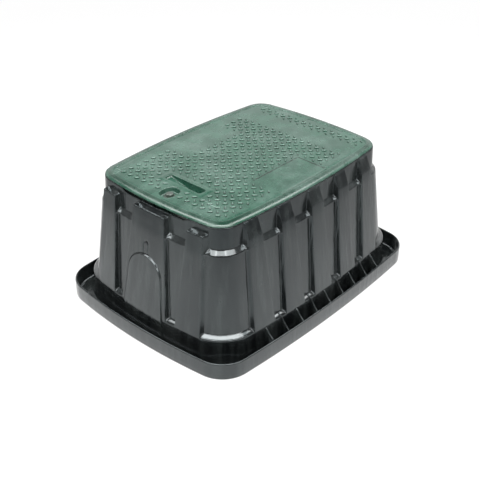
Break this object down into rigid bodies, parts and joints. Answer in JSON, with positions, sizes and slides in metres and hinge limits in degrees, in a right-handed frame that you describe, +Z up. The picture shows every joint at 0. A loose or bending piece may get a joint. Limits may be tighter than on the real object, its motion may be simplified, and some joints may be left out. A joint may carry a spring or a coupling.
{
  "type": "irrigation valve box",
  "caption": "Flared, ribbed plastic in-ground valve box with a tray foot, arched pipe knockouts and a lift-off lid held by a lock bolt.",
  "frame": {"origin": "centre of the foot on the ground", "axes": "+X along the length away from the lock bolt, +Z up out of the lid"},
  "size_m": [0.668, 0.5076, 0.3004],
  "materials": {
    "body_plastic": "black moulded polyethylene with a soft sheen and faint vertical flow streaks",
    "lid_plastic": "green moulded polyethylene with a raised diamond tread",
    "bolt_steel": "plain stainless steel, machined",
    "clip_steel": "zinc plated spring steel"
  },
  "bodies": {
    "box": {"body": "body_plastic", "lock_clip": "clip_steel"},
    "lid": {"lid": "lid_plastic"},
    "washer": {"bolt_washer": "bolt_steel"},
    "bolt": {"lock_bolt": "bolt_steel"}
  },
  "joints": [
    {"name": "lid_lift", "type": "slide", "parent": "box", "child": "lid", "axis": [0, 0, 1], "range_m": [0, 0.15]},
    {"name": "bolt_rise", "type": "slide", "parent": "lid", "child": "washer", "axis": [0, 0, 1], "range_m": [0, 0.035]},
    {"name": "bolt_turn", "type": "hinge", "parent": "washer", "child": "bolt", "pos_m": [-0.2168, 0, 0.29], "axis": [0, 0, 1], "range_deg": [0, 7200]}
  ],
  "couplings": [
    {"joint": "bolt_rise", "follows": "bolt_turn", "m_per_rad": 0.00025266}
  ]
}
